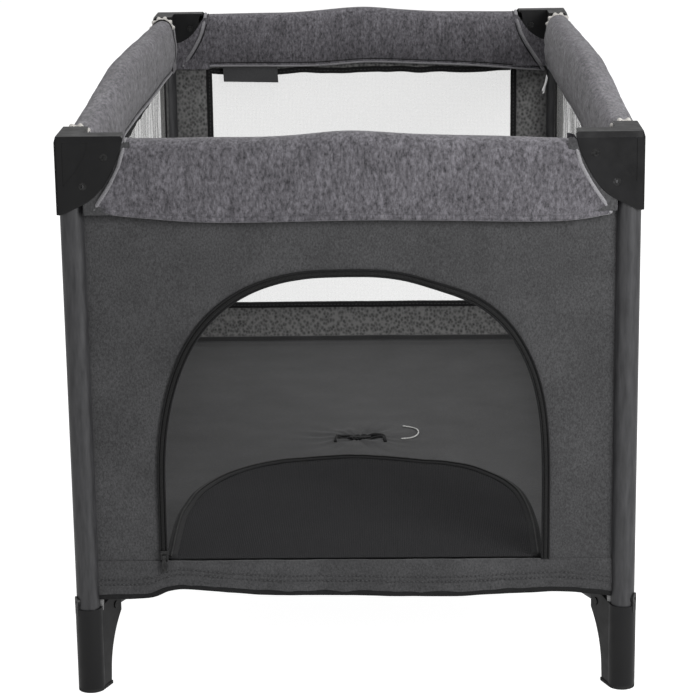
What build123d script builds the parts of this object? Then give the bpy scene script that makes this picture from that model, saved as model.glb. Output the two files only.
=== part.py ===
"""Folding travel cot (playpen): four corner posts, folding top rails with centre locks,
a central lift hub with four swinging arms, fabric walls, a soft floor and a zipped door.

Millimetres. Origin: centre of the footprint, on the floor. X is the width, Y the length
(the door end is at -Y), Z is up. All is shown standing open.
"""
import os
from math import atan2, cos, degrees, hypot, radians, sin

from build123d import *

os.makedirs("parts", exist_ok=True)

# ---------------------------------------------------------------- overall sizes
overall_width = 665.0      # over the corner brackets
overall_length = 1250.0
bracket_top_z = 670.0

# ---------------------------------------------------------------- frame sizes
post_diameter = 28.0
tube_wall = 1.5
sleeve_wall = 2.0          # plastic around a post, in bracket and boot
post_clearance = 0.05      # radial, post to its sockets
rail_diameter = 22.0
arm_diameter = 18.0
pin_diameter = 6.0
pin_clearance = 0.05       # radial
side_clearance = 0.5       # tube to fork cheek
top_plate = 3.0
outer_cheek = 4.5
inner_cheek = 3.0
wing_length = 78.0         # bracket wing, from the outer corner
wing_height = 90.0
pivot_from_post = 40.0     # rail pivot to post axis, and arm pivot to post axis
rail_pivot_drop = 24.0     # below the bracket top
low_screw_from_post = 15.0
low_screw_drop = 57.0
screw_diameter = 5.0
screw_head = 9.0
rim_round, face_round = 2.0, 1.2   # fillets of the bracket's rim and of its wings' outer faces
rim_bevel, rim_bevel_height = 2.0, 7.0   # sloped band along the top of a wing's outer face
panel_sink = 0.7           # sunk panel of a wing's outer face

post_inset = post_diameter / 2 + sleeve_wall
post_x = overall_width / 2 - post_inset
post_y = overall_length / 2 - post_inset
rail_pivot_z = bracket_top_z - rail_pivot_drop

# ---------------------------------------------------------------- centre locks
lock_pivot_gap = 60.0      # between the two rail pivots in one lock
lock_wall = 2.0
lock_web = 3.0
lock_end = 22.0            # housing past each pivot
lock_side_rise = 9.0       # housing walls above the pivot axis
web_clearance = 0.5
button_travel = 4.0
button_width, button_length = 12.0, 14.0
button_cap = 22.0

# ---------------------------------------------------------------- feet, arms, hub
arm_pivot_z = 95.0
boot_height = 108.0
boot_toe = 22.0            # boot past the post axis at the floor
boot_reach = 53.0          # boot past the post axis at the arm fork
boot_cheek = 3.0
pad_thickness = 4.0
pad_lip = 2.5              # pad past the boot at the toe
boss_angle = 25.0          # boot boss, from the outer long side towards the front
boss_radius, boss_rise = 7.0, 4.0
boss_screw_diameter, boss_screw_head = 4.0, 7.6
boss_screw_sink = 0.5      # head below the boss face
arm_slot_drop = 13.0       # slot floor below the arm pivot
hub_top_z = 112.0
hub_plate = 4.0
hub_foot_diameter = 46.0

# ---------------------------------------------------------------- soft parts
floor_thickness = 8.0
floor_side_gap = 14.0      # floor edge to the wall's inner face
wall_thickness = 3.0
wall_bottom_z = 131.0
wall_top_z = 590.0
window_depth = 1.2
window_bottom_z, window_top_z = 185.0, 573.0
window_side_margin = 53.5  # wall edge to window
sleeve_half = 16.0         # rail sleeve, half thickness
sleeve_gap = 0.1           # sleeve lining to lock housing
sleeve_bottom_z = 573.0
sleeve_top_z = 670.0
bump_top_z = 677.0
bump_half = 75.0
door_half_width = 220.0
door_sill_z = 161.0
door_spring_z = 240.0      # where the straight sides end
door_top_z = 503.0
door_squareness = 2.7      # exponent of the arch: 2 is an ellipse
zip_width = 9.0
zip_thickness = 1.5
flap_clearance = 3.0
flap_hinge_inset = 4.0     # hinge line, inside the wall's inner face
slit_length, slit_width = 70.0, 10.0
slit_y = 26.0              # slit and strap, behind the hub's centre
strap_width, strap_thickness, strap_height = 30.0, 2.0, 11.0

# ---------------------------------------------------------------- derived
# Arms and half rails have the same reach along X and along Y, so that they fold together.
run_x = post_x - pivot_from_post - lock_pivot_gap / 2
run_y = post_y - pivot_from_post - lock_pivot_gap / 2
ux, uy = run_x / hypot(run_x, run_y), run_y / hypot(run_x, run_y)
foot_pivot = (post_x - pivot_from_post * ux, post_y - pivot_from_post * uy)
hub_pivot_x, hub_pivot_y = foot_pivot[0] - run_x, foot_pivot[1] - run_y
arm_angle = degrees(atan2(uy, ux))
arm_length = hypot(run_x, run_y)
pin_r = pin_diameter / 2
hole_r = pin_r + pin_clearance
rail_r, arm_r, post_r = rail_diameter / 2, arm_diameter / 2, post_diameter / 2
lock_inner = rail_r + 0.3
lock_outer = lock_inner + lock_wall
web_top = rail_pivot_z - rail_r - web_clearance


def block(x0, x1, y0, y1, z0, z1):
    """Box from its limits."""
    return Pos((x0 + x1) / 2, (y0 + y1) / 2, (z0 + z1) / 2) * Box(
        abs(x1 - x0), abs(y1 - y0), abs(z1 - z0)
    )


def rod_z(x, y, z0, z1, r):
    return Pos(x, y, (z0 + z1) / 2) * Cylinder(r, z1 - z0)


def rod_y(x, z, y0, y1, r):
    return Pos(x, (y0 + y1) / 2, z) * Rot(90, 0, 0) * Cylinder(r, abs(y1 - y0))


def rod_x(y, z, x0, x1, r):
    return Pos((x0 + x1) / 2, y, z) * Rot(0, 90, 0) * Cylinder(r, abs(x1 - x0))


def slab_xz(face, y0, y1):
    """A face drawn in X-Z, given as a Plane.XZ sketch, made solid from y0 to y1."""
    # Plane.XZ looks along -Y, so an amount a goes to y = -a.
    return Pos(0, y1, 0) * extrude(face, amount=y1 - y0)


def pivoted_tube(x0, x1, z, r):
    """Round tube along X, pinned across at x0 and x1, its ends rounded about the pins."""
    tube = rod_x(0, z, x0 - r - 5, x1 + r + 5, r) - rod_x(0, z, x0 - r - 9, x1 + r + 9, r - tube_wall)
    for x, way in ((x0, -1), (x1, 1)):
        end = block(x, x + way * (r + 20), -2 * r, 2 * r, z - 2 * r, z + 2 * r)
        end -= rod_y(x, z, -3 * r, 3 * r, r + 0.1)
        tube -= end
        tube -= rod_y(x, z, -3 * r, 3 * r, hole_r)
    return max(tube.solids(), key=lambda s: s.volume)


def mirrored(shape, sx, sy):
    if sx < 0:
        shape = mirror(shape, about=Plane.YZ)
    if sy < 0:
        shape = mirror(shape, about=Plane.XZ)
    return shape


def along_arm(shape):
    """From a local frame, whose +X runs from the post to the hub, to the +X +Y corner."""
    return Pos(post_x, post_y, 0) * Rot(0, 0, arm_angle + 180) * shape


def along_arm_inverse(shape):
    """From a frame on the post axis, turned as the whole object, to the arm's local frame."""
    return Rot(0, 0, -(arm_angle + 180)) * shape


def along_hub(shape):
    """The same, from the hub pivot outwards along +X."""
    return Pos(hub_pivot_x, hub_pivot_y, 0) * Rot(0, 0, arm_angle) * shape


def save(name, *solids):
    shapes = [s for item in solids for s in item.solids()]
    shape = shapes[0] if len(shapes) == 1 else Compound(children=shapes)
    shape.label = name
    export_step(shape, f"parts/{name}.step")


corners = {"front_left": (-1, -1), "front_right": (1, -1), "back_left": (-1, 1), "back_right": (1, 1)}

# ---------------------------------------------------------------- corner posts
post_bottom = 12.0
post_top = bracket_top_z - top_plate - 1.0
post = rod_z(post_x, post_y, post_bottom, post_top, post_r) - rod_z(
    post_x, post_y, post_bottom - 1, post_top + 1, post_r - tube_wall
)


# ---------------------------------------------------------------- corner bracket
def shield_edge(length):
    """Points of a wing's lower edge, from its tip down to the outer corner of the post."""
    tip = post_inset - length
    top, low = bracket_top_z, bracket_top_z - wing_height
    return [(tip + 1.0, top - 8), (tip + 11.0, top - 36), (post_inset - 38, low + 16), (post_inset - 14, low + 4),
            (post_inset - 3, low)]


def wing_profile(length):
    """Shield outline of a wing in X-Z: x is measured inwards (negative) from the post axis."""
    pts = shield_edge(length)
    tip, top = post_inset - length, bracket_top_z
    with BuildSketch(Plane.XZ) as s:
        with BuildLine():
            Polyline((pts[-1][0], pts[-1][1]), (pts[-1][0], top), (tip + 2.5, top), (tip, top - 2.5), pts[0])
            Spline(*pts, tangents=((0.16, -1), (1, -0.18)))
        make_face()
    return s.sketch


def below_shield():
    """The X-Z area under the shield's lower edge, to trim the collar to it."""
    pts = shield_edge(wing_length)
    low = bracket_top_z - wing_height - 5
    with BuildSketch(Plane.XZ) as s:
        with BuildLine():
            Spline(*pts, tangents=((0.16, -1), (1, -0.18)))
            Polyline(pts[-1], (post_inset + 1, pts[-1][1] - 0.5), (post_inset + 1, low), (pts[0][0], low), pts[0])
        make_face()
    return s.sketch


def softened(plate, radius, keep_x):
    """Round the outline of a plate's +Y face, apart from its straight edge at keep_x."""
    face = plate.faces().sort_by(Axis.Y)[-1]
    edges = [e for e in face.edges() if abs(e.center().X - keep_x) > 0.5]
    return fillet(edges, radius)


def wing_x():
    """Wing along -X, about a post axis at the origin."""
    outer = slab_xz(wing_profile(wing_length), post_inset - outer_cheek, post_inset)
    outer = softened(outer, min(face_round, outer_cheek * 0.45), shield_edge(wing_length)[-1][0])
    inner = slab_xz(wing_profile(wing_length - 6), -rail_r - side_clearance - inner_cheek,
                    -rail_r - side_clearance)
    roof = block(post_inset - wing_length + 2.5, 0, -rail_r - side_clearance - inner_cheek,
                 post_inset - 3, bracket_top_z - top_plate, bracket_top_z - 0.01)
    boss = block(-low_screw_from_post - 7, -low_screw_from_post + 7, 3, post_inset - 2,
                 bracket_top_z - low_screw_drop - 8, bracket_top_z - low_screw_drop + 8)
    return outer + inner + roof + boss


def face_panel():
    """Shallow sunk panel of the wing's outer face, between the outer corner and a curved line."""
    top = bracket_top_z
    with BuildSketch(Plane.XZ) as s:
        with BuildLine():
            Polyline((post_inset - 38, top - 7), (post_inset - 9, top - 7), (post_inset - 9, top - 57))
            Spline((post_inset - 9, top - 57), (post_inset - 22, top - 42), (post_inset - 33, top - 24),
                   (post_inset - 38, top - 7), tangents=((-0.6, 0.8), (-0.05, 1)))
        make_face()
    return slab_xz(s.sketch, post_inset - panel_sink, post_inset + 1)


def top_bevel():
    """Wedge that slopes the top band of the wing along -X."""
    top = bracket_top_z
    with BuildSketch(Plane.YZ) as s:
        Polygon((post_inset + 0.1, top - rim_bevel_height), (post_inset + 0.1, top + 0.1),
                (post_inset - rim_bevel, top + 0.1), align=None)
    return Pos(-wing_length, 0, 0) * extrude(s.sketch, amount=wing_length + post_inset)


def wing_cuts():
    """Pin holes and screw recesses of the wing along -X."""
    z_low = bracket_top_z - low_screw_drop
    cuts = rod_y(-pivot_from_post, rail_pivot_z, -40, 40, hole_r)
    cuts += rod_y(-pivot_from_post, rail_pivot_z, post_inset - 2.5, post_inset + 1, screw_head / 2 + 0.1)
    cuts += rod_y(-low_screw_from_post, z_low, 2, 40, screw_diameter / 2 + 0.05)
    cuts += rod_y(-low_screw_from_post, z_low, post_inset - 2.5, post_inset + 1, screw_head / 2 + 0.1)
    return cuts


def swap(shape):
    """The wing along -X turned into the wing along -Y."""
    return mirror(shape, about=Plane(origin=(0, 0, 0), z_dir=(1, -1, 0)))


collar = rod_z(0, 0, bracket_top_z - wing_height, bracket_top_z, post_inset)
collar = fillet(collar.edges().group_by(Axis.Z)[-1], rim_round)
trim = slab_xz(below_shield(), -post_inset - 5, post_inset + 5)
wing = wing_x()
bracket = collar + wing + swap(wing)
bracket -= trim + swap(trim)
bracket -= face_panel() + swap(face_panel())
bracket -= top_bevel() + swap(top_bevel())
bracket -= rod_z(0, 0, 0, bracket_top_z - top_plate, post_r + post_clearance)
# The rails swing down between the cheeks, so those channels stay clear of the collar.
bracket -= block(-wing_length, -pivot_from_post + rail_r + 3, -rail_r - side_clearance,
                 rail_r + side_clearance, 0, bracket_top_z - top_plate)
bracket -= block(-rail_r - side_clearance, rail_r + side_clearance, -wing_length,
                 -pivot_from_post + rail_r + 3, 0, bracket_top_z - top_plate)
bracket -= wing_cuts() + swap(wing_cuts())
bracket = max(bracket.solids(), key=lambda s: s.volume)
bracket = Pos(post_x, post_y, 0) * bracket


# ---------------------------------------------------------------- fasteners of a corner
def rail_pin():
    """Shouldered pin through both cheeks of the wing along -X, head in its recess."""
    y_in = -rail_r - side_clearance - inner_cheek
    pin = rod_y(-pivot_from_post, rail_pivot_z, y_in - 1.5, post_inset - 2.3, pin_r)
    pin += rod_y(-pivot_from_post, rail_pivot_z, post_inset - 2.4, post_inset - 0.4, screw_head / 2)
    pin += rod_y(-pivot_from_post, rail_pivot_z, y_in - 2.5, y_in - 0.05, screw_head / 2)
    pin -= Pos(-pivot_from_post, post_inset - 0.4, rail_pivot_z) * Rot(90, 0, 0) * extrude(
        RegularPolygon(2.0, 6), amount=1.2, both=True
    )
    return pin


def low_screw():
    z_low = bracket_top_z - low_screw_drop
    screw = rod_y(-low_screw_from_post, z_low, post_inset - outer_cheek - 1.5, post_inset - 2.3,
                  screw_diameter / 2)
    screw += rod_y(-low_screw_from_post, z_low, post_inset - 2.4, post_inset - 0.4, screw_head / 2)
    screw -= Pos(-low_screw_from_post, post_inset - 0.4, z_low) * Rot(90, 0, 0) * extrude(
        RegularPolygon(2.0, 6), amount=1.2, both=True
    )
    return screw


arm_pin_half = arm_r + side_clearance + boot_cheek
arm_pin = rod_y(pivot_from_post, arm_pivot_z, -arm_pin_half - 0.6, arm_pin_half + 0.6, pin_r)
for side in (-1, 1):
    arm_pin += rod_y(pivot_from_post, arm_pivot_z, side * (arm_pin_half + 0.05),
                     side * (arm_pin_half + 2.0), screw_head / 2)
# Screw from the boss on the boot's outer side into the post's lower end.
boss_z = boot_height + boss_rise
at_boss = Rot(0, 0, boss_angle)
boss_hole = rod_x(0, boss_z, 0, post_inset + 5, boss_screw_diameter / 2 + 0.05)
boss_face = post_inset - boss_screw_sink
boss_recess = rod_x(0, boss_z, boss_face - 1.25, post_inset + 5, boss_screw_head / 2 + 0.1)
nose_screw = rod_x(0, boss_z, boss_face - 1.2, boss_face, boss_screw_head / 2)
nose_screw += rod_x(0, boss_z, post_r - 5, boss_face - 1.1, boss_screw_diameter / 2)
nose_screw -= Pos(boss_face, 0, boss_z) * Rot(0, 90, 0) * extrude(RegularPolygon(1.8, 6), amount=0.7, both=True)
at_post = Pos(post_x, post_y, 0)
fasteners = [
    at_post * rail_pin(), at_post * swap(rail_pin()), at_post * low_screw(),
    at_post * swap(low_screw()), along_arm(arm_pin), at_post * at_boss * nose_screw,
]
post -= at_post * at_boss * boss_hole

# ---------------------------------------------------------------- foot boot and its pad
boot_half = arm_r + side_clearance + boot_cheek
with BuildSketch(Plane.XZ) as boot_side:
    with BuildLine():
        Polyline((0, pad_thickness), (boot_toe, pad_thickness), (boot_toe + 1, pad_thickness + 12))
        ThreePointArc((boot_toe + 1, pad_thickness + 12), (boot_toe + 9, 52), (boot_reach, 84))
        Polyline((boot_reach, 84), (boot_reach, boot_height - 4), (boot_reach - 4, boot_height),
                 (24, boot_height), (12, boot_height - 2.5), (0, boot_height - 4), (0, pad_thickness))
    make_face()
with BuildSketch() as boot_plan:
    Polygon((0, -post_inset + 0.5), (0, post_inset - 0.5), (boot_reach + 1, boot_half),
            (boot_reach + 1, -boot_half), align=None)
# The cheeks run tangent from the round nose and narrow to the fork.
boot = extrude(boot_plan.sketch, amount=boot_height + 5) & slab_xz(boot_side.sketch, -30, 30)
boot += rod_z(0, 0, pad_thickness, boot_height - 4, post_inset)
boss = rod_x(0, boss_z, post_r - 2, post_inset - 0.2, boss_radius)
boss += block(post_r - 2, post_inset - 0.4, -boss_radius + 1, boss_radius - 1, boot_height - 12, boss_z)
# The boss ends flush with the outer side.
boss = at_boss * boss & block(0, post_inset, -30, 30, 0, 2 * boss_z)
boot += along_arm_inverse(boss)
boot -= rod_z(0, 0, post_bottom, boot_height + 20, post_r + post_clearance)
boot -= block(post_r + 3, boot_reach + 5, -arm_r - side_clearance, arm_r + side_clearance,
              arm_pivot_z - arm_slot_drop, boot_height + 10)
boot -= rod_y(pivot_from_post, arm_pivot_z, -30, 30, hole_r)
for side in (-1, 1):
    boot -= rod_y(pivot_from_post, arm_pivot_z, side * boot_half, side * (boot_half + 20), screw_head / 2 + 0.4)
boot -= along_arm_inverse(at_boss * (boss_hole + boss_recess))
boot = along_arm(max(boot.solids(), key=lambda s: s.volume))
with BuildSketch() as pad_plan:
    Polygon((0, -post_inset), (0, post_inset), (boot_toe + 1.5, boot_half + pad_lip),
            (boot_toe + 1.5, -boot_half - pad_lip), align=None)
pad = extrude(pad_plan.sketch, amount=pad_thickness) + rod_z(0, 0, 0, pad_thickness, post_inset)
pad = along_arm(pad)

# ---------------------------------------------------------------- lifting arms
arm = along_arm(pivoted_tube(pivot_from_post, pivot_from_post + arm_length, arm_pivot_z, arm_r))

# ---------------------------------------------------------------- hub
hub_low = arm_pivot_z - arm_r - 2
under = hub_top_z - hub_plate
with BuildSketch() as hub_outline:
    RectangleRounded(2 * (hub_pivot_x + 18), 2 * (hub_pivot_y + 18), 14)
hub = Pos(0, 0, under) * extrude(hub_outline.sketch, amount=hub_plate)
hub += block(-38, 38, -45, 45, hub_low, under) + block(-61, 61, -20, 20, hub_low, under)
pins = []
for sx, sy in corners.values():
    fork = along_hub(block(-12, 10, -boot_half, boot_half, hub_low, under))
    hub += mirrored(fork, sx, sy)
for sx, sy in corners.values():
    gap = along_hub(block(-12.5, 90, -arm_r - side_clearance, arm_r + side_clearance, 0, under - 1))
    hub -= mirrored(gap, sx, sy)
    hub -= mirrored(along_hub(rod_y(0, arm_pivot_z, -16, 16, hole_r)), sx, sy)
    pins.append(mirrored(along_hub(rod_y(0, arm_pivot_z, -boot_half, boot_half, pin_r)), sx, sy))
hub = max(hub.solids(), key=lambda s: s.volume)
hub_foot = rod_z(0, 0, 0, hub_low, hub_foot_diameter / 2 - 4) + rod_z(0, 0, 0, 8, hub_foot_diameter / 2)
hub_foot += rod_z(0, 0, hub_low - 12, hub_low, hub_foot_diameter / 2)

# ---------------------------------------------------------------- pull strap
strap_top = hub_top_z + strap_height
strap_half = slit_width / 2 - 1
strap = block(-strap_width / 2, strap_width / 2, slit_y - strap_half, slit_y + strap_half, hub_top_z, strap_top)
strap -= block(-strap_width, strap_width, slit_y - strap_half + strap_thickness,
               slit_y + strap_half - strap_thickness, hub_top_z + strap_thickness, strap_top - strap_thickness)

# ---------------------------------------------------------------- top rails and locks
half_gap = lock_pivot_gap / 2


def rail_half(pivot_far):
    """Half rail along +X in the plane y = 0: from the lock pivot to the bracket pivot."""
    return pivoted_tube(half_gap, pivot_far, rail_pivot_z, rail_r)


lock_half = half_gap + lock_end
with BuildSketch(Plane.XZ) as lock_side:
    with BuildLine():
        top = rail_pivot_z + lock_side_rise
        low = web_top - lock_web
        Polyline((-lock_half + 6, low), (lock_half - 6, low), (lock_half, low + 6),
                 (lock_half, top - 8), (lock_half - 8, top), (-lock_half + 8, top),
                 (-lock_half, top - 8), (-lock_half, low + 6), (-lock_half + 6, low))
    make_face()
housing = slab_xz(lock_side.sketch, -lock_outer, lock_outer)
housing -= block(-lock_half - 1, lock_half + 1, -lock_inner, lock_inner, web_top, top + 1)
housing -= block(-button_length / 2 - 0.3, button_length / 2 + 0.3, -button_width / 2 - 0.3,
                 button_width / 2 + 0.3, low - 1, web_top + 1)
lock_pins = []
for s in (-half_gap, half_gap):
    housing -= rod_y(s, rail_pivot_z, -30, 30, hole_r)
    pin = rod_y(s, rail_pivot_z, -lock_outer + 0.1, lock_outer - 0.1, pin_r)
    lock_pins.append(pin)
cap_top = low - button_travel - 0.5
button = block(-button_length / 2, button_length / 2, -button_width / 2, button_width / 2, cap_top, web_top + 0.2)
button += block(-button_cap / 2, button_cap / 2, -10, 10, cap_top - 6, cap_top)
button += block(-button_length / 2 - 3, button_length / 2 + 3, -button_width / 2 - 2,
                button_width / 2 + 2, web_top + 0.2, web_top + 4.2)


def rail_sleeve(pivot_far, post_at):
    """Padded fabric sleeve over one whole rail, open below, with a raised centre over the lock."""
    end = post_at + post_inset - wing_length - 2.0
    with BuildSketch(Plane.XZ) as s:
        with BuildLine():
            Polyline((-end - 30, sleeve_bottom_z + 6), (-end + 40, sleeve_bottom_z), (end - 40, sleeve_bottom_z),
                     (end + 30, sleeve_bottom_z + 6), (end + 18, sleeve_bottom_z + 22), (end + 5, sleeve_bottom_z + 52),
                     (end, sleeve_top_z - 8), (end - 3, sleeve_top_z), (bump_half + 40, sleeve_top_z),
                     (bump_half - 20, bump_top_z), (-bump_half + 20, bump_top_z),
                     (-bump_half - 40, sleeve_top_z), (-end + 3, sleeve_top_z), (-end, sleeve_top_z - 8),
                     (-end - 5, sleeve_bottom_z + 52), (-end - 18, sleeve_bottom_z + 22),
                     (-end - 30, sleeve_bottom_z + 6))
        make_face()
    sleeve = slab_xz(s.sketch, -sleeve_half, sleeve_half)
    cavity = lock_outer + sleeve_gap
    sleeve -= block(-post_at, post_at, -cavity, cavity, 0, sleeve_top_z - 4)
    return sleeve


# ---------------------------------------------------------------- walls
wall_half = wall_thickness / 2


def door_outline(inset, sill):
    """Round-topped doorway in X-Z, grown or shrunk by an inset. Its arch is a superellipse."""
    hw = door_half_width - inset
    rise = door_top_z - inset - door_spring_z
    power = 2 / door_squareness
    arch = [(hw * cos(radians(a)) ** power, door_spring_z + rise * sin(radians(a)) ** power)
            for a in (12, 26, 40, 55, 68, 79)]
    right = [(hw, door_spring_z)] + arch + [(0, door_spring_z + rise)]
    left = [(-x, z) for x, z in right]
    with BuildSketch(Plane.XZ) as s:
        with BuildLine():
            Polyline((-hw, door_spring_z), (-hw, sill), (hw, sill), (hw, door_spring_z))
            Spline(*right, tangents=((0, 1), (-1, 0)))
            Spline(*left, tangents=((0, 1), (1, 0)))
        make_face()
    return s.sketch


def wall_plate(post_at, window=True):
    """Wall along X in the plane y = 0; the +Y face is the room's outside."""
    edge = post_at - post_r - 0.1
    plate = block(-edge, edge, -wall_half, wall_half, wall_bottom_z, wall_top_z)
    if window:
        wx = edge - window_side_margin
        plate -= block(-wx, wx, wall_half - window_depth, wall_half + 1, window_bottom_z, window_top_z)
    return plate


front = wall_plate(post_x, window=False) - slab_xz(door_outline(0, door_sill_z), -5, 5)
front_y = -post_y
zip_track = slab_xz(
    door_outline(-zip_width, door_sill_z + 2) - door_outline(0, door_sill_z - 10), 0, zip_thickness
)
zip_track = Pos(0, front_y - wall_half - zip_thickness, 0) * zip_track
# The slider straddles the left stretch of the track, at its lower end.
slider_x = -door_half_width - zip_width / 2
track_face = front_y - wall_half - zip_thickness
slider_z = door_sill_z + 3
slider = block(slider_x - 4, slider_x + 4, track_face - 3.1, track_face - 0.1, slider_z, slider_z + 11)
slider += block(slider_x - 2.5, slider_x + 2.5, track_face - 5.1, track_face - 3.1, slider_z - 14, slider_z + 6)

# Door flap, folded flat inwards over the floor; its hinge line is parallel to X.
hinge_y = front_y + wall_half + flap_hinge_inset
flap = slab_xz(door_outline(flap_clearance, door_sill_z), -wall_half, wall_half)
flap += rod_x(0, door_sill_z, -door_half_width + flap_clearance, door_half_width - flap_clearance, wall_half)
flap = Pos(0, hinge_y, door_sill_z) * Rot(-90, 0, 0) * Pos(0, 0, -door_sill_z) * flap

# ---------------------------------------------------------------- floor
floor_x = post_x - wall_half - floor_side_gap
floor_y = post_y - wall_half - floor_side_gap
with BuildSketch() as floor_outline:
    RectangleRounded(2 * floor_x, 2 * floor_y, 24)
floor_panel = Pos(0, 0, hub_top_z) * extrude(floor_outline.sketch, amount=floor_thickness)
floor_panel -= block(-slit_length / 2, slit_length / 2, slit_y - slit_width / 2, slit_y + slit_width / 2, 0, 300)

# ---------------------------------------------------------------- write the pieces
for corner, (sx, sy) in corners.items():
    save(f"post_tube_{corner}", mirrored(post, sx, sy))
    save(f"corner_bracket_{corner}", mirrored(bracket, sx, sy))
    save(f"post_fasteners_{corner}", *[mirrored(f, sx, sy) for f in fasteners])
    save(f"foot_boot_{corner}", mirrored(boot, sx, sy))
    save(f"foot_pad_{corner}", mirrored(pad, sx, sy))
    save(f"arm_tube_{corner}", mirrored(arm, sx, sy))

save("hub_body", hub)
save("hub_foot", hub_foot)
save("hub_pins", *pins)
save("pull_strap", strap)

short_half = rail_half(post_x - pivot_from_post)
long_half = rail_half(post_y - pivot_from_post)
short_sleeve = rail_sleeve(post_x - pivot_from_post, post_x)
long_sleeve = rail_sleeve(post_y - pivot_from_post, post_y)
quarter = Rot(0, 0, 90)
for name, sy in (("front", -1), ("back", 1)):
    place = Pos(0, sy * post_y, 0)
    save(f"rail_tube_{name}_left", place * mirror(short_half, about=Plane.YZ))
    save(f"rail_tube_{name}_right", place * short_half)
    save(f"lock_housing_{name}", place * housing)
    save(f"lock_pins_{name}", *[place * p for p in lock_pins])
    save(f"lock_button_{name}", place * button)
    save(f"rail_sleeve_{name}", place * short_sleeve)
for name, sx in (("left", -1), ("right", 1)):
    place = Pos(sx * post_x, 0, 0)
    save(f"rail_tube_{name}_front", place * Rot(0, 0, -90) * long_half)
    save(f"rail_tube_{name}_back", place * quarter * long_half)
    save(f"lock_housing_{name}", place * quarter * housing)
    save(f"lock_pins_{name}", *[place * quarter * p for p in lock_pins])
    save(f"lock_button_{name}", place * quarter * button)
    save(f"rail_sleeve_{name}", place * quarter * long_sleeve)

save("front_panel", Pos(0, front_y, 0) * front)
save("back_panel", Pos(0, post_y, 0) * wall_plate(post_x))
save("left_panel", Pos(-post_x, 0, 0) * quarter * wall_plate(post_y))
save("right_panel", Pos(post_x, 0, 0) * Rot(0, 0, -90) * wall_plate(post_y))
save("zip_track", zip_track)
save("zip_slider", slider)
save("door_flap", flap)
save("floor_panel", floor_panel)
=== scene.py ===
"""Looks of the folding playpen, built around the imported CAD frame. Metres; door end at -Y."""
import bisect
import math

import bpy
from mathutils import Matrix, Vector, noise


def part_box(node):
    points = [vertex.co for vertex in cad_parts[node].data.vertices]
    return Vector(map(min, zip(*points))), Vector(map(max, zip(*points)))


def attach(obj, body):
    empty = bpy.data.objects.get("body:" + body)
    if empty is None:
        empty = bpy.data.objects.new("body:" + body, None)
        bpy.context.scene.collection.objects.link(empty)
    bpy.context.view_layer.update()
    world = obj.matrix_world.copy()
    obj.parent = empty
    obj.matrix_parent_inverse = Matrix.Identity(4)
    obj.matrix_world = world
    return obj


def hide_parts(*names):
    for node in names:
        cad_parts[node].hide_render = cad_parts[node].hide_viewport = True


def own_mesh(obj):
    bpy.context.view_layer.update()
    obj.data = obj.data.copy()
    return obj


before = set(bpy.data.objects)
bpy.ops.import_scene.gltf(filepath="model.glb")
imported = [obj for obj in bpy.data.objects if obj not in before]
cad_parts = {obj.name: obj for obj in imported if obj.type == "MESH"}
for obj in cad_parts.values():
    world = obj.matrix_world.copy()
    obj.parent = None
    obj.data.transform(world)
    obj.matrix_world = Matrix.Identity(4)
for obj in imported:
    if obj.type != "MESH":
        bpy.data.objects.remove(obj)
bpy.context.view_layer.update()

# ------------------------------------------------------------------ places, read from the frame
lo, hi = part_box("post_tube_front_left")
PX, PY = -(lo[0] + hi[0]) / 2, -(lo[1] + hi[1]) / 2
POST_R = (hi[0] - lo[0]) / 2
lo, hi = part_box("corner_bracket_front_left")
OX, OY, TOP = -lo[0], -lo[1], hi[2]
WALL_LO, WALL_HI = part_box("front_panel")[0][2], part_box("front_panel")[1][2]
FLOOR_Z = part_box("floor_panel")[1][2]
CORNERS = {"front_left": (-1, -1), "front_right": (1, -1), "back_left": (-1, 1), "back_right": (1, 1)}


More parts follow.
